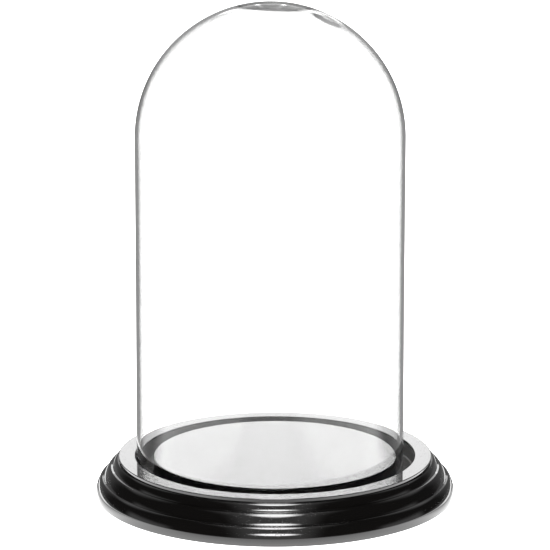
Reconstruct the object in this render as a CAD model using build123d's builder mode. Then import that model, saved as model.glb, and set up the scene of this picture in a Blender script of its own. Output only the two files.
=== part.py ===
from build123d import *

import math
import os

# Bell jar dome: a blown glass dome that stands loose in the groove of a turned, lacquered base.
# Millimetres. Z = 0 is the shelf under the felt feet, +Z is up, and the Z axis is the base's axis.

# ---- driving dimensions: base -------------------------------------------------------------
FOOT_THICKNESS = 1.0        # self-adhesive felt pad
FOOT_RADIUS = 6.0
FOOT_CIRCLE_RADIUS = 60.0   # the four feet sit on this circle under the rim
FOOT_COUNT = 4

BASE_HEIGHT = 17.6          # turned from 18 mm board
BASE_RADIUS = 77.2          # widest point, the plinth at the bottom
RING_RADIUS = 67.5          # outer edge of the flat ring on top
RING_STEP = 1.5             # small face under the ring's edge
STEP_UNDERCUT = 0.06        # by which that face falls back towards its foot
EDGE_ROUNDING = 0.25        # softened arrises under the lacquer

GROOVE_OUTER_RADIUS = 60.3
GROOVE_INNER_RADIUS = 52.3  # also the radius of the raised centre
GROOVE_DEPTH = 7.0

# ---- driving dimensions: glass ------------------------------------------------------------
DOME_RADIUS = 57.25         # outside
WALL = 1.4
CROWN_CENTRE = 138.6        # centre of the half-ball top, above the base's top face
CROWN_THICKNESS = 2.6       # the glass is thickest at the very top
RIM_ROUNDING = 0.5          # fire-polished rim
DOME_OFFSET = -2.2          # the loose dome stands a little to one side of its groove

# ---- derived heights ----------------------------------------------------------------------
BASE_BOTTOM = FOOT_THICKNESS
BASE_TOP = BASE_BOTTOM + BASE_HEIGHT
GROOVE_FLOOR = BASE_TOP - GROOVE_DEPTH

# ---- the moulded edge: three tiers, each a rounded shoulder that runs into a steeper flank --
# A surface angle is the slope of the outward normal above the horizontal, in degrees.
# Each tier as (radius and depth of its upper end, radius and depth of its foot, then the surface
# angles where the shoulder starts, where it turns into the flank, and at the foot).
TIERS = [
    (68.0, 1.55, 70.0, 4.60, 67.5, 31.0, 16.3),
    (70.8, 4.75, 73.9, 9.30, 62.0, 33.0, 18.4),
    (74.6, 9.45, BASE_RADIUS, 14.2, 67.5, 28.8, 11.4),
]


def arc_radii(run, drop, top_angle, mid_angle, foot_angle):
    """Radii of the shoulder and flank arcs that, joined tangentially, cover this run and drop."""
    top = math.radians(top_angle)
    mid = math.radians(mid_angle)
    foot = math.radians(foot_angle)
    shoulder_run = math.cos(mid) - math.cos(top)
    shoulder_drop = math.sin(top) - math.sin(mid)
    flank_run = math.cos(foot) - math.cos(mid)
    flank_drop = math.sin(mid) - math.sin(foot)
    scale = shoulder_run * flank_drop - flank_run * shoulder_drop
    shoulder = (run * flank_drop - flank_run * drop) / scale
    flank = (shoulder_run * drop - shoulder_drop * run) / scale
    return shoulder, flank


def downhill(angle):
    """Direction of travel, outward and down, on a surface whose normal has this angle."""
    return (math.sin(math.radians(angle)), -math.cos(math.radians(angle)))


os.makedirs("parts", exist_ok=True)

# ---- turned base --------------------------------------------------------------------------
with BuildPart() as turned_base:
    with BuildSketch(Plane.XZ) as base_profile:
        with BuildLine() as base_outline:
            step_foot = (RING_RADIUS - STEP_UNDERCUT, BASE_TOP - RING_STEP)
            Line((0, BASE_TOP), (RING_RADIUS, BASE_TOP))
            Line((RING_RADIUS, BASE_TOP), step_foot)
            previous_foot = step_foot
            for top_radius, top_depth, foot_radius, foot_depth, *angles in TIERS:
                top_angle, mid_angle, foot_angle = angles
                shoulder_radius, flank_radius = arc_radii(
                    foot_radius - top_radius, foot_depth - top_depth, *angles
                )
                upper_end = (top_radius, BASE_TOP - top_depth)
                Line(previous_foot, upper_end)
                shoulder_arc = JernArc(
                    start=upper_end,
                    tangent=downhill(top_angle),
                    radius=shoulder_radius,
                    arc_size=mid_angle - top_angle,
                )
                flank_arc = JernArc(
                    start=shoulder_arc @ 1,
                    tangent=downhill(mid_angle),
                    radius=flank_radius,
                    arc_size=foot_angle - mid_angle,
                )
                previous_foot = flank_arc @ 1
            plinth_foot = (BASE_RADIUS, BASE_BOTTOM)
            Line(previous_foot, plinth_foot)
            Line(plinth_foot, (0, BASE_BOTTOM))
            Line((0, BASE_BOTTOM), (0, BASE_TOP))
        make_face()
    revolve(axis=Axis.Z)
    with BuildSketch(Plane.XY.offset(BASE_TOP)) as groove_plan:
        Circle(GROOVE_OUTER_RADIUS)
        Circle(GROOVE_INNER_RADIUS, mode=Mode.SUBTRACT)
    extrude(amount=-GROOVE_DEPTH, mode=Mode.SUBTRACT)
    top_arrises = turned_base.edges().filter_by(GeomType.CIRCLE).group_by(Axis.Z)[-1]
    fillet(top_arrises, radius=EDGE_ROUNDING)
    bottom_arris = turned_base.edges().filter_by(GeomType.CIRCLE).group_by(Axis.Z)[0]
    fillet(bottom_arris, radius=2 * EDGE_ROUNDING)
turned_base.part.label = "turned_base"
export_step(turned_base.part, "parts/turned_base.step")

# ---- glass dome ---------------------------------------------------------------------------
dome_plane = Plane.XZ.move(Location((DOME_OFFSET, 0, 0)))
crown_centre_height = BASE_TOP + CROWN_CENTRE
apex_height = crown_centre_height + DOME_RADIUS
inner_radius = DOME_RADIUS - WALL
flat_height = apex_height - CROWN_THICKNESS
flat_rise = flat_height - crown_centre_height
flat_radius = math.sqrt(inner_radius**2 - flat_rise**2)
diagonal = math.sqrt(0.5)

with BuildPart() as glass_dome:
    with BuildSketch(dome_plane) as wall_profile:
        with BuildLine() as wall_outline:
            Line((DOME_RADIUS, GROOVE_FLOOR), (DOME_RADIUS, crown_centre_height))
            ThreePointArc(
                (DOME_RADIUS, crown_centre_height),
                (DOME_RADIUS * diagonal, crown_centre_height + DOME_RADIUS * diagonal),
                (0, apex_height),
            )
            Line((0, apex_height), (0, flat_height))
            Line((0, flat_height), (flat_radius, flat_height))
            ThreePointArc(
                (flat_radius, flat_height),
                (inner_radius * diagonal, crown_centre_height + inner_radius * diagonal),
                (inner_radius, crown_centre_height),
            )
            Line((inner_radius, crown_centre_height), (inner_radius, GROOVE_FLOOR))
            Line((inner_radius, GROOVE_FLOOR), (DOME_RADIUS, GROOVE_FLOOR))
        make_face()
    revolve(axis=Axis((DOME_OFFSET, 0, 0), (0, 0, 1)))
    rim_arrises = glass_dome.edges().filter_by(GeomType.CIRCLE).group_by(Axis.Z)[0]
    fillet(rim_arrises, radius=RIM_ROUNDING)
glass_dome.part.label = "glass_dome"
export_step(glass_dome.part, "parts/glass_dome.step")

# ---- felt feet ----------------------------------------------------------------------------
foot_places = PolarLocations(FOOT_CIRCLE_RADIUS, FOOT_COUNT, start_angle=45)
for number, place in enumerate(foot_places.locations, start=1):
    with BuildPart() as felt_foot:
        with BuildSketch(Plane.XY.move(place)) as foot_plan:
            Circle(FOOT_RADIUS)
        extrude(amount=FOOT_THICKNESS)
    felt_foot.part.label = f"felt_foot_{number}"
    export_step(felt_foot.part, f"parts/felt_foot_{number}.step")
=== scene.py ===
import math

import bpy
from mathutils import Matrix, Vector, noise


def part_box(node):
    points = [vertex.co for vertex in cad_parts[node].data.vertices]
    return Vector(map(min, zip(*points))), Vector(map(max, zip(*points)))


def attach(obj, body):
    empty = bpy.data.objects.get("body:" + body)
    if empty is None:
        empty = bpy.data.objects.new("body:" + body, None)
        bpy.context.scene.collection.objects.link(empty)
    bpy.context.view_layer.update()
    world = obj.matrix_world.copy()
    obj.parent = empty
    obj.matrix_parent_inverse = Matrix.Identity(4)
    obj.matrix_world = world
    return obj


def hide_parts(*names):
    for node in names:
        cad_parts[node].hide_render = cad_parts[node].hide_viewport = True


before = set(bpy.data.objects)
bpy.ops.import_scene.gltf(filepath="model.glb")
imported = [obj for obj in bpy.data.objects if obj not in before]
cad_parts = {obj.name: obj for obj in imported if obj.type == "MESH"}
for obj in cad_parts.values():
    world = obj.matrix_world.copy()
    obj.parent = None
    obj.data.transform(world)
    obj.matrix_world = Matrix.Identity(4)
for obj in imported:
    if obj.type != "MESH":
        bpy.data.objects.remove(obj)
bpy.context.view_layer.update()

MM = 0.001

# ---- places and sizes from the frame --------------------------------------------------------
base_low, base_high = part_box("turned_base")
dome_low, dome_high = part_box("glass_dome")
BASE_TOP = base_high.z
BASE_BOTTOM = base_low.z
BASE_RADIUS = base_high.x
GROOVE_FLOOR = dome_low.z
DOME_X = (dome_low.x + dome_high.x) / 2
DOME_RADIUS = (dome_high.x - dome_low.x) / 2
APEX = dome_high.z
CROWN_CENTRE = APEX - DOME_RADIUS

# ---- sizes of the turned base ---------------------------------------------------------------
GUARD_DISTANCE = 0.03 * MM   # from the end of a straight run to the point that keeps it flat
GROOVE_COVE = 0.4 * MM
RING_RADIUS = 67.5 * MM
RING_STEP = 1.5 * MM
STEP_UNDERCUT = 0.06 * MM
GROOVE_OUTER = 60.3 * MM
GROOVE_INNER = 52.3 * MM
EDGE_ROUNDING = 0.25 * MM
FOOT_ROUNDING = 0.5 * MM
# Each tier: radius and depth of its upper end, radius and depth of its foot, and the slope of
# the surface's normal where the shoulder starts, where it turns into the flank, and at the foot.
TIERS = (
    (68.0 * MM, 1.55 * MM, 70.0 * MM, 4.60 * MM, 67.5, 31.0, 16.3),
    (70.8 * MM, 4.75 * MM, 73.9 * MM, 9.30 * MM, 62.0, 33.0, 18.4),
    (74.6 * MM, 9.45 * MM, BASE_RADIUS, 14.2 * MM, 67.5, 28.8, 11.4),
)

# ---- sizes of the glass ---------------------------------------------------------------------
WALL = 1.35 * MM
SHOULDER_WALL = 1.0 * MM
CROWN_THICKNESS = 2.45 * MM
RIM_ROUNDING = 0.5 * MM
FLARE = 0.3 * MM            # the tube opens very slightly towards its rim
LEAN = 0.25 * MM            # and its top is a hair off its axis
GATHER_HEIGHT = CROWN_CENTRE + 30 * MM  # above this the inside is uneven
CEILING_TILT = 0.037        # slope of the flat inside the crown, down towards +X
CEILING_FALL = 0.039        # and down towards the back
CEILING_BEND = 0.8          # its back half curves down nearly as much as the outside
CEILING_SOFT = 0.25 * MM    # rounding where the flat meets the curved inside
FAR_BELOW = 30              # this many CEILING_SOFT below the flat, the inside keeps its curve
RIPPLE = 0.05 * MM
RIPPLE_SPAN = 2.5 * MM
KNOT_ANGLE = math.radians(25)           # a thicker spot, this far from the crown towards +X
KNOT_DIRECTION = Vector((math.sin(KNOT_ANGLE), -0.1, math.cos(KNOT_ANGLE))).normalized()
KNOT_DEPTH = 0.3 * MM
KNOT_SPAN = math.radians(6.2)
TUBE_STEPS = 40
COARSE_STEP = 1.5           # degrees between the rings inside the half-ball, up to FINE_FROM
FINE_FROM = 60
FINE_STEP = 3 / 7           # and from there to the top

# ---- sizes of the felt ----------------------------------------------------------------------
FELT_COUNT = 4
FELT_ROUNDING = 0.25 * MM
FELT_FRAY = 0.12 * MM
FRAY_SCALE = 900
FRAY_FROM = 0.8             # part of the pad's radius outside which its edge frays

LATHE_SEGMENTS = 288
FELT_SEGMENTS = 64
SHARP_ANGLE = math.radians(14)


# ---- outlines -------------------------------------------------------------------------------
def arc(centre, radius, start, end, steps):
    """Points on a circle in the (radius, height) plane, angles in degrees, both ends included."""
    points = []
    for step in range(steps + 1):
        angle = math.radians(start + (end - start) * step / steps)
        points.append((centre[0] + radius * math.cos(angle), centre[1] + radius * math.sin(angle)))
    return points


def line(start, end, steps):
    """Points between start and end, neither included; one close to each end keeps it flat."""
    run = end[0] - start[0]
    drop = end[1] - start[1]
    guard = GUARD_DISTANCE / math.hypot(run, drop)
    stops = [guard] + [step / steps for step in range(1, steps)] + [1 - guard]
    return [(start[0] + run * t, start[1] + drop * t) for t in stops]


def arc_radii(run, drop, top_angle, mid_angle, foot_angle):
    """Radii of the shoulder and flank arcs that, joined tangentially, cover this run and drop."""
    top = math.radians(top_angle)
    mid = math.radians(mid_angle)
    foot = math.radians(foot_angle)
    shoulder_run = math.cos(mid) - math.cos(top)
    shoulder_drop = math.sin(top) - math.sin(mid)
    flank_run = math.cos(foot) - math.cos(mid)
    flank_drop = math.sin(mid) - math.sin(foot)
    scale = shoulder_run * flank_drop - flank_run * shoulder_drop
    shoulder = (run * flank_drop - flank_run * drop) / scale
    flank = (shoulder_run * drop - shoulder_drop * run) / scale
    return shoulder, flank


def arc_down(start, start_angle, end_angle, radius, steps):
    """An arc that leaves start, on a surface whose normal turns from start_angle to end_angle."""
    angle = math.radians(start_angle)
    centre = (start[0] - radius * math.cos(angle), start[1] - radius * math.sin(angle))
    return arc(centre, radius, start_angle, end_angle, steps)


def base_outline():
    """The turned base from the centre of its top to the centre of its underside."""
    e = EDGE_ROUNDING
    cove = GROOVE_COVE
    top = BASE_TOP
    floor = GROOVE_FLOOR
    points = [(0.0, top)]
    points += line((0, top), (GROOVE_INNER - e, top), 12)
    points += arc((GROOVE_INNER - e, top - e), e, 90, 0, 8)
    points += line((GROOVE_INNER, top - e), (GROOVE_INNER, floor + cove), 5)
    points += arc((GROOVE_INNER + cove, floor + cove), cove, 180, 270, 8)
    points += line((GROOVE_INNER + cove, floor), (GROOVE_OUTER - cove, floor), 6)
    points += arc((GROOVE_OUTER - cove, floor + cove), cove, 270, 360, 8)
    points += line((GROOVE_OUTER, floor + cove), (GROOVE_OUTER, top - e), 5)
    points += arc((GROOVE_OUTER + e, top - e), e, 180, 90, 8)
    points += line((GROOVE_OUTER + e, top), (RING_RADIUS - e, top), 5)
    points += arc((RING_RADIUS - e, top - e), e, 90, 2, 8)
    foot = (RING_RADIUS - STEP_UNDERCUT, top - RING_STEP)
    for top_radius, top_depth, foot_radius, foot_depth, *angles in TIERS:
        shoulder, flank = arc_radii(foot_radius - top_radius, foot_depth - top_depth, *angles)
        start = (top_radius, top - top_depth)
        points += line(points[-1], foot, 3) + [foot]
        points += line(foot, start, 3)
        points += arc_down(start, angles[0], angles[1], shoulder, 9)
        points += arc_down(points[-1], angles[1], angles[2], flank, 7)[1:]
        foot = points.pop()
    points += [foot]
    f = FOOT_ROUNDING
    points += line(foot, (BASE_RADIUS, BASE_BOTTOM + f), 4)
    points += arc((BASE_RADIUS - f, BASE_BOTTOM + f), f, 0, -90, 8)
    points += line((BASE_RADIUS - f, BASE_BOTTOM), (0, BASE_BOTTOM), 8)
    points += [(0.0, BASE_BOTTOM)]
    return points


def wall_radius(height):
    """Outer radius of the glass tube at a height: straight, with a slight flare to the rim."""
    down = max(0.0, (CROWN_CENTRE - height) / (CROWN_CENTRE - GROOVE_FLOOR))
    return DOME_RADIUS + FLARE * down**2


def inner_wall_radius(angle):
    """Inner radius of the half-ball: its wall thins from WALL to SHOULDER_WALL by 45 degrees up."""
    thinning = math.sin(min(2 * angle, math.pi / 2)) ** 2
    return DOME_RADIUS - WALL + (WALL - SHOULDER_WALL) * thinning


def glass_outline():
    """The glass from the outside of its crown, down, round the rim, and up to the crown's inside."""
    radius = DOME_RADIUS
    rim = RIM_ROUNDING
    steps = TUBE_STEPS
    points = [(0.0, APEX)]
    points += arc((0, CROWN_CENTRE), radius, 90, 0, 64)[1:]
    low = GROOVE_FLOOR + rim
    for step in range(1, steps):
        height = CROWN_CENTRE + (low - CROWN_CENTRE) * step / steps
        points.append((wall_radius(height), height))
    edge = wall_radius(low)
    points += arc((edge - rim, low), rim, 0, -90, 6)
    points += arc((edge - WALL + rim, low), rim, -90, -180, 6)
    for step in range(steps - 1, 0, -1):
        height = CROWN_CENTRE + (low - CROWN_CENTRE) * step / steps
        points.append((wall_radius(height) - WALL, height))
    coarse = [COARSE_STEP * step for step in range(round(FINE_FROM / COARSE_STEP))]
    fine = [FINE_FROM + FINE_STEP * step for step in range(round((90 - FINE_FROM) / FINE_STEP))]
    for degrees in coarse + fine:
        angle = math.radians(degrees)
        inner = inner_wall_radius(angle)
        points.append((inner * math.cos(angle), CROWN_CENTRE + inner * math.sin(angle)))
    points.append((0.0, CROWN_CENTRE + inner_wall_radius(math.pi / 2)))
    return points


def blow(vertex):
    """The blown glass leans a hair, and is gathered unevenly inside its crown."""
    from_centre = vertex - Vector((0, 0, CROWN_CENTRE))
    inside = from_centre.length < DOME_RADIUS - SHOULDER_WALL / 2
    x, y, z = vertex
    if inside and z > GATHER_HEIGHT:
        # where the gather ends, the inside turns flat, a little tilted and rippled
        ripple = noise.noise(Vector((x, y, 0)) / RIPPLE_SPAN) * RIPPLE
        bend = CEILING_BEND * max(0.0, y) ** 2 / (2 * DOME_RADIUS)
        ceiling = APEX - CROWN_THICKNESS - CEILING_TILT * x - CEILING_FALL * y - bend + ripple
        below = (ceiling - z) / CEILING_SOFT
        if below < FAR_BELOW:
            z = ceiling - CEILING_SOFT * math.log(1 + math.exp(below))
        away = from_centre.normalized().angle(KNOT_DIRECTION)
        z -= KNOT_DEPTH * math.exp(-((away / KNOT_SPAN) ** 4))
    up = (z - GROOVE_FLOOR) / (APEX - GROOVE_FLOOR)
    return Vector((x + LEAN * up, y, z))


def felt_outline(radius, low, high):
    """A felt pad from the centre of its top to the centre of its underside."""
    soft = FELT_ROUNDING
    halfway = radius / 2
    points = [(0.0, high), (halfway, high)]
    points += arc((radius - soft, high - soft), soft, 90, 0, 4)
    points += arc((radius - soft, low + soft), soft, 0, -90, 4)
    points += [(halfway, low), (0.0, low)]
    return points


# ---- mesh making ----------------------------------------------------------------------------
def lathe(name, outline, segments, axis_x, shape=None):
    """A closed surface of revolution; both ends of the outline lie on the axis.

    shape moves each vertex before the surface is put at axis_x.
    """
    verts = []
    faces = []
    rings = []
    for radius, height in outline:
        if radius == 0.0:
            rings.append([len(verts)])
            verts.append(Vector((0, 0, height)))
            continue
        ring = []
        for segment in range(segments):
            angle = 2 * math.pi * segment / segments
            ring.append(len(verts))
            verts.append(Vector((radius * math.cos(angle), radius * math.sin(angle), height)))
        rings.append(ring)
    if shape is not None:
        verts = [shape(v) for v in verts]
    for upper, lower in zip(rings, rings[1:]):
        for segment in range(segments):
            following = (segment + 1) % segments
            if len(upper) == 1:
                faces.append((upper[0], lower[segment], lower[following]))
            elif len(lower) == 1:
                faces.append((upper[segment], lower[0], upper[following]))
            else:
                faces.append((upper[segment], lower[segment], lower[following], upper[following]))
    mesh = bpy.data.meshes.new(name)
    mesh.from_pydata([(v.x + axis_x, v.y, v.z) for v in verts], [], faces)
    mesh.validate()
    mesh.shade_smooth()
    mesh.set_sharp_from_angle(angle=SHARP_ANGLE)
    piece = bpy.data.objects.new(name, mesh)
    bpy.context.scene.collection.objects.link(piece)
    return piece


# ---- node helpers ---------------------------------------------------------------------------
# A curve is (start, end, value before start, value after end), joined by a smooth step.
class Nodes:
    """Short names for building a node tree."""

    def __init__(self, tree):
        self.tree = tree
        tree.nodes.clear()

    def add(self, kind, **settings):
        node = self.tree.nodes.new(kind)
        for key, value in settings.items():
            setattr(node, key, value)
        return node

    def put(self, socket, value):
        if isinstance(value, bpy.types.NodeSocket):
            self.tree.links.new(value, socket)
        else:
            socket.default_value = value

    def split(self, vector):
        node = self.add("ShaderNodeSeparateXYZ")
        self.put(node.inputs[0], vector)
        return node.outputs

    def math(self, operation, first, second=0.0):
        node = self.add("ShaderNodeMath", operation=operation)
        self.put(node.inputs[0], first)
        self.put(node.inputs[1], second)
        return node.outputs[0]

    def times(self, *values):
        result = values[0]
        for value in values[1:]:
            result = self.math("MULTIPLY", result, value)
        return result

    def plus(self, *values):
        result = values[0]
        for value in values[1:]:
            result = self.math("ADD", result, value)
        return result

    def one_minus(self, value):
        return self.math("SUBTRACT", 1.0, value)

    def length(self, across, along):
        return self.math("SQRT", self.plus(self.times(across, across), self.times(along, along)))

    def ramp(self, value, start, end, low=0.0, high=1.0):
        """Smooth step from low at start to high at end."""
        node = self.add("ShaderNodeMapRange", interpolation_type="SMOOTHSTEP")
        for socket, setting in zip(node.inputs, (value, start, end, low, high)):
            self.put(socket, setting)
        return node.outputs[0]

    def band(self, value, low, high, soft):
        """1 between low and high, falling to 0 over soft on either side."""
        rise = self.ramp(value, low - soft, low)
        fall = self.ramp(value, high, high + soft, 1.0, 0.0)
        return self.times(rise, fall)

    def at_least(self, count, number):
        """1 where a whole-number count has reached number, else 0."""
        return self.ramp(count, number - 0.5, number - 0.4)

    def noise(self, vector, scale, detail, roughness=0.5):
        node = self.add("ShaderNodeTexNoise")
        self.put(node.inputs["Vector"], vector)
        node.inputs["Scale"].default_value = scale
        node.inputs["Detail"].default_value = detail
        node.inputs["Roughness"].default_value = roughness
        return node.outputs["Fac"]

    def bump(self, height, distance, normal=None):
        node = self.add("ShaderNodeBump")
        self.put(node.inputs["Height"], height)
        node.inputs["Distance"].default_value = distance
        node.inputs["Strength"].default_value = 1.0
        if normal is not None:
            self.put(node.inputs["Normal"], normal)
        return node.outputs["Normal"]

    def mix_colour(self, factor, first, second):
        node = self.add("ShaderNodeMix", data_type="RGBA")
        self.put(node.inputs["Factor"], factor)
        self.put(node.inputs[6], first)
        self.put(node.inputs[7], second)
        return node.outputs[2]


def new_material(name):
    material = bpy.data.materials.new(name)
    material.use_nodes = True
    nodes = Nodes(material.node_tree)
    shader = nodes.add("ShaderNodeBsdfPrincipled")
    output = nodes.add("ShaderNodeOutputMaterial")
    material.node_tree.links.new(shader.outputs[0], output.inputs["Surface"])
    return material, nodes, shader


def give(piece, material):
    piece.data.materials.clear()
    piece.data.materials.append(material)


# ---- materials ------------------------------------------------------------------------------
GLASS_IOR = 1.5
LACQUER_IOR = 1.5
LACQUER_BLACK = (0.0018, 0.0016, 0.0015, 1.0)
SPECK_GREY = (0.42, 0.41, 0.39, 1.0)
# Grey of the dust on the groove's outer wall, which also serves as a painted sheen where light grazes
# the wall's left and right ends.
DUST_AND_SHEEN_GREY = (0.60, 0.60, 0.60, 1.0)
FELT_DARK = (0.012, 0.012, 0.013, 1.0)
FELT_LIGHT = (0.07, 0.07, 0.075, 1.0)

# Where a finish begins and ends. A band is (low, high, softness); the rest are curves.
GROOVE_SPAN = (GROOVE_INNER - 0.05 * MM, GROOVE_OUTER + 0.05 * MM, 0.1 * MM)  # a band of radius
GROOVE_TOP = (BASE_TOP - 0.2 * MM, BASE_TOP - 0.9 * MM, 0.0, 1.0)        # by height
OUTER_WALL = (GROOVE_OUTER - 0.9 * MM, GROOVE_OUTER - 0.3 * MM, 0.0, 1.0)  # by radius
# Dust on the groove's outer wall, made heavier to the left and right as a painted sheen of light
# grazing the wall there.
WALL_DUST_AND_SHEEN = (5 * MM, 48 * MM, 0.13, 0.25)   # by distance from the middle: more at the sides
GROOVE_FLOOR_FACING = (0.6, 0.9, 0.0, 1.0)  # by the upward part of the surface's normal
PEEL_ON_FLATS = (0.93, 0.99, 1.0, 0.07)     # by the same: flats have hardly any peel
SHOULDER_FACING = (0.35, 0.93, 0.1)         # a band of the same

# Each noise as (scale, detail) or (scale, detail, roughness).
PEEL = (420.0, 2.0)
NIBS = (1900.0, 1.0)
GRIT = (1300.0, 4.0, 0.7)
SPECKS = (900.0, 3.0, 0.6)
SMEARS = (60.0, 3.0)
REAMS = (28.0, 2.0)
SMUDGES = (45.0, 4.0)
FIBRES = (2600.0, 5.0, 0.75)
CLUMPS = (500.0, 3.0)
REAM_STRETCH = (1.0, 1.0, 0.3)              # along the height of the glass
NIB_SPOTS = (0.66, 0.74, 0.0, 1.0)          # by the value of the noise
SPECK_SPOTS = (0.60, 0.68, 0.0, 1.0)
SMUDGE_ROUGHNESS = (0.5, 0.8, 0.0, 0.004)
FIBRE_ROUGHNESS = (0.3, 0.7, 0.85, 1.0)

PEEL_HEIGHT = 0.004 * MM
NIB_HEIGHT = 0.012 * MM
GRIT_HEIGHT = 0.25 * MM
REAM_HEIGHT = 0.02 * MM
FIBRE_HEIGHT = 0.15 * MM
NIBS_EVERYWHERE = 0.03      # part of NIB_HEIGHT
NIBS_ON_SHOULDERS = 0.8     # added on the shoulders
SPECK_COVER = 0.5           # part of the groove floor's own colour that a speck hides
GRIT_COVER = 0.12
POLISH = 0.03               # roughness of the clean lacquer
SMEAR = 0.02                # added where it is smeared
GROOVE_DULLNESS = 0.38      # added in the groove
FELT_SHEEN = 0.4
FELT_SHEEN_ROUGHNESS = 0.6


def lacquer_material():
    """Gloss black lacquer: polished where it shows, dull and speckled in the groove."""
    material, nodes, shader = new_material("black_lacquer")
    place = nodes.add("ShaderNodeTexCoord").outputs["Object"]
    x, y, z = nodes.split(place)
    radius = nodes.length(x, y)
    upward = nodes.split(nodes.add("ShaderNodeNewGeometry").outputs["Normal"])["Z"]

    in_groove = nodes.times(nodes.band(radius, *GROOVE_SPAN), nodes.ramp(z, *GROOVE_TOP))
    on_floor = nodes.times(in_groove, nodes.ramp(upward, *GROOVE_FLOOR_FACING))

    peel = nodes.times(nodes.noise(place, *PEEL), nodes.ramp(upward, *PEEL_ON_FLATS))
    nibs = nodes.ramp(nodes.noise(place, *NIBS), *NIB_SPOTS)
    on_shoulder = nodes.times(nodes.band(upward, *SHOULDER_FACING), NIBS_ON_SHOULDERS)
    nib_height = nodes.times(nibs, nodes.plus(on_shoulder, NIBS_EVERYWHERE))
    grit = nodes.noise(place, *GRIT)
    specks = nodes.ramp(nodes.noise(place, *SPECKS), *SPECK_SPOTS)

    cover = nodes.plus(nodes.times(specks, SPECK_COVER), nodes.times(grit, GRIT_COVER))
    speckled = nodes.times(on_floor, cover)
    shade = nodes.mix_colour(speckled, LACQUER_BLACK, SPECK_GREY)
    # Grey dust on the groove's outer wall, made heavier to the left and right as a painted sheen of
    # light grazing the wall's ends.
    dust_and_sheen = nodes.times(
        in_groove,
        nodes.ramp(radius, *OUTER_WALL),
        nodes.ramp(nodes.math("ABSOLUTE", x), *WALL_DUST_AND_SHEEN),
    )
    nodes.put(shader.inputs["Base Color"], nodes.mix_colour(dust_and_sheen, shade, DUST_AND_SHEEN_GREY))
    smear = nodes.times(nodes.noise(place, *SMEARS), SMEAR)
    dullness = nodes.times(in_groove, GROOVE_DULLNESS)
    nodes.put(shader.inputs["Roughness"], nodes.plus(smear, POLISH, dullness))
    shader.inputs["IOR"].default_value = LACQUER_IOR

    normal = nodes.bump(peel, PEEL_HEIGHT)
    normal = nodes.bump(nib_height, NIB_HEIGHT, normal)
    normal = nodes.bump(nodes.times(grit, on_floor), GRIT_HEIGHT, normal)
    nodes.put(shader.inputs["Normal"], normal)
    return material


def glass_material():
    """Clear blown glass with faint reams, drawn out along its height, and faint smudges."""
    material, nodes, shader = new_material("clear_glass")
    place = nodes.add("ShaderNodeTexCoord").outputs["Object"]
    stretch = nodes.add("ShaderNodeMapping")
    nodes.put(stretch.inputs["Vector"], place)
    stretch.inputs["Scale"].default_value = REAM_STRETCH
    ream = nodes.noise(stretch.outputs[0], *REAMS)
    nodes.put(shader.inputs["Normal"], nodes.bump(ream, REAM_HEIGHT))
    smudge = nodes.noise(place, *SMUDGES)
    nodes.put(shader.inputs["Roughness"], nodes.ramp(smudge, *SMUDGE_ROUGHNESS))
    shader.inputs["Base Color"].default_value = (1.0, 1.0, 1.0, 1.0)
    shader.inputs["Transmission Weight"].default_value = 1.0
    shader.inputs["IOR"].default_value = GLASS_IOR
    return material


def felt_material():
    """Pressed black felt."""
    material, nodes, shader = new_material("felt")
    place = nodes.add("ShaderNodeTexCoord").outputs["Object"]
    fibre = nodes.noise(place, *FIBRES)
    clump = nodes.noise(place, *CLUMPS)
    tone = nodes.mix_colour(nodes.times(fibre, clump), FELT_DARK, FELT_LIGHT)
    nodes.put(shader.inputs["Base Color"], tone)
    nodes.put(shader.inputs["Roughness"], nodes.ramp(fibre, *FIBRE_ROUGHNESS))
    shader.inputs["Sheen Weight"].default_value = FELT_SHEEN
    shader.inputs["Sheen Roughness"].default_value = FELT_SHEEN_ROUGHNESS
    nodes.put(shader.inputs["Normal"], nodes.bump(fibre, FIBRE_HEIGHT))
    return material


# ---- pieces ---------------------------------------------------------------------------------
base = lathe("lacquered_base", base_outline(), LATHE_SEGMENTS, 0.0)
give(base, lacquer_material())
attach(base, "base")
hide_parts("turned_base")

dome = lathe("blown_dome", glass_outline(), LATHE_SEGMENTS, DOME_X, blow)
give(dome, glass_material())
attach(dome, "dome")
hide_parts("glass_dome")

felt = felt_material()
for number in range(1, FELT_COUNT + 1):
    node = f"felt_foot_{number}"
    low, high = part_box(node)
    middle = (low + high) / 2
    radius = (high.x - low.x) / 2
    foot = lathe(f"felt_pad_{number}", felt_outline(radius, low.z, high.z), FELT_SEGMENTS, 0.0)
    for vertex in foot.data.vertices:
        fray = noise.noise(vertex.co * FRAY_SCALE + Vector((number, 0, 0))) * FELT_FRAY
        away = Vector((vertex.co.x, vertex.co.y, 0))
        if away.length > FRAY_FROM * radius:
            vertex.co += away.normalized() * fray
        vertex.co.x += middle.x
        vertex.co.y += middle.y
    give(foot, felt)
    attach(foot, "base")
    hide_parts(node)

# ---- light ----------------------------------------------------------------------------------
# Seen directly, or straight through the glass, the floor and the studio are plain white. What is
# mirrored, or lights the object, is a designed room: the curves below.
WHITE = 3.0


def white_unless_mirrored(nodes, mirrored_light):
    """WHITE for what is seen directly or through clear glass, mirrored_light for the rest."""
    path = nodes.add("ShaderNodeLightPath")
    seen = nodes.math("MAXIMUM", path.outputs["Is Camera Ray"], path.outputs["Is Transmission Ray"])
    white = nodes.times(seen, nodes.one_minus(nodes.at_least(path.outputs["Glossy Depth"], 1)))
    return nodes.plus(nodes.times(white, WHITE), nodes.times(nodes.one_minus(white), mirrored_light))


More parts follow.
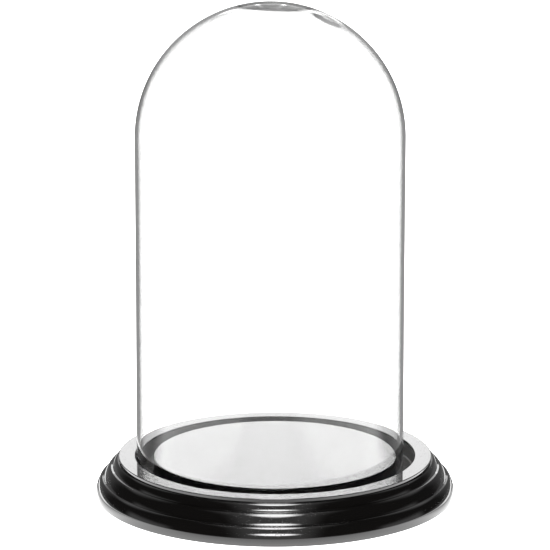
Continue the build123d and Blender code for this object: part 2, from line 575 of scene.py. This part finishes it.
# ---- floor ----------------------------------------------------------------------------------
# A pool of light round the front of the base, a ring round the pool, and dimmer floor beyond.
# Distances are in metres: from the base's axis, across from the middle, or y, towards the back.
FLOOR_HALF = 1.5
POOL = (0.096, 0.100, 1.0, 0.0)                 # from the axis
RING = (0.115, 0.120, 1.0, 0.0)                 # from the axis, the ring with the pool in it
POOL_FRONT = (0.012, 0.022, 1.0, 0.0)           # by y
POOL_MIDDLE_LIGHT = (0.079, 0.097, 5.4, 2.0)    # from the axis
POOL_SIDE_LIGHT = (0.073, 0.083, 4.5, 1.35)     # across
POOL_TO_SIDE = (0.045, 0.065, 0.0, 1.0)         # across
POOL_BACK_LIGHT = 0.1
RING_TO_BACK = (0.010, 0.030, 0.0, 1.0)         # by y
RING_FRONT_LIGHT = (0.030, 0.070, 2.9, 4.3)     # across
RING_BACK_LIGHT = (0.040, 0.060, 3.0, 1.55)     # by y
# Beyond the ring the front is lit as far as the front of the glass mirrors it at the groove's height,
# and dark beyond that, so that the glass keeps its outline seen from the side or from behind.
FAR_FRONT = (-0.02, 0.03, 1.0, 0.0)             # by y
FAR_REACH = (0.24, 0.30, 1.0, 0.0)              # from the axis
FAR_FRONT_LIGHT = (0.06, 0.11, 1.2, 2.1)        # across
FAR_LIGHT = 0.28

floor_mesh = bpy.data.meshes.new("floor")
half = FLOOR_HALF
corners = [(-half, -half, 0), (half, -half, 0), (half, half, 0), (-half, half, 0)]
floor_mesh.from_pydata(corners, [], [(0, 1, 2, 3)])
floor = bpy.data.objects.new("floor", floor_mesh)
bpy.context.scene.collection.objects.link(floor)

floor_look = bpy.data.materials.new("floor_white")
floor_look.use_nodes = True
nodes = Nodes(floor_look.node_tree)
x, y, z = nodes.split(nodes.add("ShaderNodeTexCoord").outputs["Object"])
from_axis = nodes.length(x, y)
across = nodes.math("ABSOLUTE", x)

in_pool = nodes.ramp(from_axis, *POOL)
in_ring = nodes.math("SUBTRACT", nodes.ramp(from_axis, *RING), in_pool)
in_front = nodes.ramp(y, *POOL_FRONT)
middle_light = nodes.ramp(from_axis, *POOL_MIDDLE_LIGHT)
side_light = nodes.ramp(across, *POOL_SIDE_LIGHT)
to_side = nodes.times(
    nodes.ramp(across, *POOL_TO_SIDE), nodes.math("SUBTRACT", side_light, middle_light)
)
pool = nodes.plus(
    nodes.times(in_front, nodes.plus(middle_light, to_side)),
    nodes.times(nodes.one_minus(in_front), POOL_BACK_LIGHT),
)
to_back = nodes.ramp(y, *RING_TO_BACK)
ring = nodes.plus(
    nodes.times(nodes.one_minus(to_back), nodes.ramp(across, *RING_FRONT_LIGHT)),
    nodes.times(to_back, nodes.ramp(y, *RING_BACK_LIGHT)),
)
far_front = nodes.times(nodes.ramp(y, *FAR_FRONT), nodes.ramp(from_axis, *FAR_REACH))
beyond = nodes.plus(
    nodes.times(far_front, nodes.ramp(across, *FAR_FRONT_LIGHT)),
    nodes.times(nodes.one_minus(far_front), FAR_LIGHT),
)
lit = nodes.plus(
    nodes.times(in_pool, pool),
    nodes.times(in_ring, ring),
    nodes.times(nodes.one_minus(nodes.plus(in_pool, in_ring)), beyond),
)
glow = nodes.add("ShaderNodeEmission")
nodes.put(glow.inputs["Strength"], white_unless_mirrored(nodes, lit))
output = nodes.add("ShaderNodeOutputMaterial")
floor_look.node_tree.links.new(glow.outputs[0], output.inputs["Surface"])
floor_mesh.materials.append(floor_look)

# ---- studio ---------------------------------------------------------------------------------
# A lit strip and a backdrop behind, two soft boxes in front, and faint glows. Angles are in degrees:
# spread is the bearing from straight behind, elevation the height over the horizon, over the angle
# from the front horizon up over the top, and aside the angle from the middle plane.
TO_DEGREES = 180 / math.pi
BEHIND = (9.0, 12.5, 1.0, 0.0)                  # by spread
WINDOW = (14.9, 18.2, 0.8)                      # a band of elevation
WINDOW_LIGHT = 4.08
BACKDROP_FOOT = (17.7, 18.5, 0.0, 1.0)          # by elevation
BACKDROP_FADE = (20.0, 31.0, 1.0, 0.2)          # by elevation
BACKDROP_TOP = (36.0, 54.0, 1.0, 0.2)           # by elevation
BACKDROP_MIDDLE = (3.0, 6.0, 0.25, 1.0)         # by spread
BACKDROP_LIGHT = 2.8
HIGH_BOX = (68.0, 17.0, 10.0, 0.55, 1.45)       # see soft_ellipse
HIGH_BOX_LIGHT = 28.0
LOW_BOX = (22.0, 3.75, 12.3, 0.55, 1.45)
LOW_BOX_LIGHT = 33.0
HALO = (0.0, 90.0, 4.0)                         # a band of over
HALO_FADE = (12.0, 32.0, 1.0, 0.0)              # by aside
UPPER_GLOW_FOOT = (26.0, 36.0, 0.0, 1.0)        # by elevation
UPPER_GLOW_TOP = (46.0, 56.0, 1.0, 0.0)         # by elevation
UPPER_GLOW_FADE = (30.0, 75.0, 1.0, 0.0)        # by spread
UPPER_GLOW_LIGHT = 0.8
SIDE_GLOW = (80.0, 105.0, 10.0)                 # a band of spread
SIDE_GLOW_TOP = (5.0, 15.0, 1.0, 0.0)           # by elevation
SIDE_GLOW_LIGHT = 0.9
ROOM = (0.6, 0.9, 0.05, 0.3)                    # by the backward part of the direction
# Mirrored straight off an outside surface, what stands behind is dimmed, except in the directions
# that the two ends of the base's ring and shelves mirror: so the outside of the crown stays clear.
RING_ENDS = (2.3, 3.1, 0.3)                     # a band of spread
SHELF_ENDS = (7.7, 8.3, 1.0, 0.0)               # by spread
CROWN_DIMMING = 0.8
# Light that has run along inside the glass wall before it leaves is a soft grey.
GUIDED_BEHIND = (0.0, 40.0, 0.55, 0.25)         # by spread
GUIDED_ABOVE = (0.0, 20.0, 0.25, 0.7)           # by elevation

world = bpy.data.worlds.new("studio")
bpy.context.scene.world = world
world.use_nodes = True
nodes = Nodes(world.node_tree)
x, y, z = nodes.split(nodes.add("ShaderNodeTexCoord").outputs["Generated"])
aside = nodes.times(nodes.math("ABSOLUTE", nodes.math("ARCSINE", x)), TO_DEGREES)
spread = nodes.times(nodes.math("ABSOLUTE", nodes.math("ARCTAN2", x, y)), TO_DEGREES)
elevation = nodes.times(nodes.math("ARCSINE", z), TO_DEGREES)
over = nodes.times(nodes.math("ARCTAN2", z, nodes.times(y, -1.0)), TO_DEGREES)


def soft_ellipse(over_middle, over_half, aside_half, start, end):
    """A light with rounded ends: full up to start half-widths from its middle, none past end."""
    up = nodes.times(nodes.plus(over, -over_middle), 1 / over_half)
    along = nodes.times(aside, 1 / aside_half)
    return nodes.ramp(nodes.length(up, along), start, end, 1.0, 0.0)


behind = nodes.ramp(spread, *BEHIND)
window = nodes.times(behind, nodes.band(elevation, *WINDOW), WINDOW_LIGHT)
backdrop = nodes.times(
    behind,
    nodes.ramp(elevation, *BACKDROP_FOOT),
    nodes.ramp(elevation, *BACKDROP_FADE),
    nodes.ramp(elevation, *BACKDROP_TOP),
    nodes.ramp(spread, *BACKDROP_MIDDLE),
    BACKDROP_LIGHT,
)
high_box = nodes.times(soft_ellipse(*HIGH_BOX), HIGH_BOX_LIGHT)
low_box = nodes.times(soft_ellipse(*LOW_BOX), LOW_BOX_LIGHT)
halo = nodes.times(nodes.band(over, *HALO), nodes.ramp(aside, *HALO_FADE))
upper_glow = nodes.times(
    nodes.ramp(elevation, *UPPER_GLOW_FOOT),
    nodes.ramp(elevation, *UPPER_GLOW_TOP),
    nodes.ramp(spread, *UPPER_GLOW_FADE),
    UPPER_GLOW_LIGHT,
)
side_glow = nodes.times(
    nodes.band(spread, *SIDE_GLOW), nodes.ramp(elevation, *SIDE_GLOW_TOP), SIDE_GLOW_LIGHT
)
room = nodes.ramp(y, *ROOM)

path = nodes.add("ShaderNodeLightPath")
mirrorings = path.outputs["Glossy Depth"]
crossings = path.outputs["Transmission Depth"]
straight = nodes.one_minus(nodes.at_least(crossings, 1))
off_ends = nodes.times(
    nodes.one_minus(nodes.band(spread, *RING_ENDS)), nodes.ramp(spread, *SHELF_ENDS)
)
kept = nodes.one_minus(nodes.times(straight, off_ends, CROWN_DIMMING))
from_behind = nodes.times(nodes.plus(window, backdrop), kept)
studio_light = nodes.plus(from_behind, high_box, low_box, halo, upper_glow, side_glow, room)

reflected_once = nodes.times(
    nodes.at_least(mirrorings, 1), nodes.one_minus(nodes.at_least(crossings, 3))
)
reflected_often = nodes.at_least(mirrorings, 3)
guided = nodes.times(
    path.outputs["Is Transmission Ray"], nodes.math("MAXIMUM", reflected_once, reflected_often)
)
guided_light = nodes.math(
    "MAXIMUM", nodes.ramp(spread, *GUIDED_BEHIND), nodes.ramp(elevation, *GUIDED_ABOVE)
)
mirrored_light = nodes.plus(
    nodes.times(guided, guided_light), nodes.times(nodes.one_minus(guided), studio_light)
)
background = nodes.add("ShaderNodeBackground")
nodes.put(background.inputs["Strength"], white_unless_mirrored(nodes, mirrored_light))
output = nodes.add("ShaderNodeOutputWorld")
world.node_tree.links.new(background.outputs[0], output.inputs["Surface"])

# ---- camera ---------------------------------------------------------------------------------
CAMERA_DISTANCE = 1.2704
CAMERA_HEIGHT = 0.3696      # above the base's top
CAMERA_PITCH = 12.885       # degrees below the horizon
CAMERA_SENSOR = 36
CAMERA_LENS = 200.1
CAMERA_CLIP = (0.01, 20)

camera = bpy.data.objects.new("camera", bpy.data.cameras.new("camera"))
bpy.context.scene.collection.objects.link(camera)
camera.location = (0.0, -CAMERA_DISTANCE, BASE_TOP + CAMERA_HEIGHT)
camera.rotation_euler = (math.radians(90 - CAMERA_PITCH), 0, 0)
camera.data.sensor_width = CAMERA_SENSOR
camera.data.lens = CAMERA_LENS
camera.data.clip_start, camera.data.clip_end = CAMERA_CLIP

scene = bpy.context.scene
scene.camera = camera
scene.view_settings.view_transform = "Standard"
scene.cycles.max_bounces = 24
scene.cycles.transmission_bounces = 20
scene.cycles.glossy_bounces = 16
scene.cycles.transparent_max_bounces = 16
